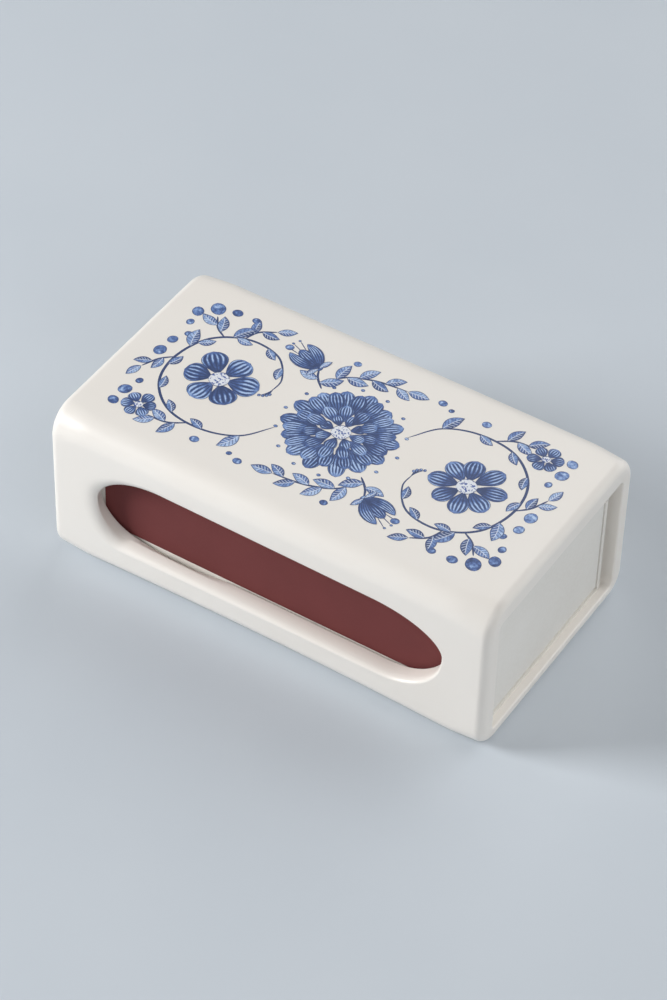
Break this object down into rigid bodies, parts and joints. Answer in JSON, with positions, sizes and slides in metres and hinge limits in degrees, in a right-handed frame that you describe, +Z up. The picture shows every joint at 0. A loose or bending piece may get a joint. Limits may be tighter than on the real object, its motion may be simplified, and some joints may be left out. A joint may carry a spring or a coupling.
{
  "type": "matchbox holder",
  "caption": "Glazed stoneware sleeve, open at both ends with a striking slot in its front, holding a card matchbox whose tray of matches slides out.",
  "frame": {"origin": "middle of the underside of the stoneware sleeve", "axes": "+X along the sleeve to its right-hand open end, -Y to the slotted front, +Z up"},
  "size_m": [0.127, 0.0694, 0.0465],
  "materials": {
    "glazed_stoneware": "satin gloss warm white glaze with cobalt blue decoration on top",
    "cover_card": "matt white folded card",
    "tray_card": "matt white folded card",
    "striker_coat": "rough red-brown striking compound",
    "match_wood": "plain sawn aspen",
    "match_head": "dull dipped match compound"
  },
  "bodies": {
    "holder": {"holder_sleeve": "glazed_stoneware"},
    "matchbox": {"matchbox_cover": "cover_card", "front_striker": "striker_coat", "back_striker": "striker_coat"},
    "tray": {"matchbox_tray": "tray_card", "match_sticks_layer_1": "match_wood", "match_sticks_layer_2": "match_wood", "match_sticks_layer_3": "match_wood", "match_sticks_layer_4": "match_wood", "match_sticks_layer_5": "match_wood", "match_heads_layer_1": "match_head", "match_heads_layer_2": "match_head", "match_heads_layer_3": "match_head", "match_heads_layer_4": "match_head", "match_heads_layer_5": "match_head"}
  },
  "joints": [
    {"name": "matchbox_slide", "type": "slide", "parent": "holder", "child": "matchbox", "axis": [1, 0, 0], "range_m": [-0.127, 0.122]},
    {"name": "tray_slide", "type": "slide", "parent": "matchbox", "child": "tray", "axis": [1, 0, 0], "range_m": [-0.119, 0.119]}
  ]
}
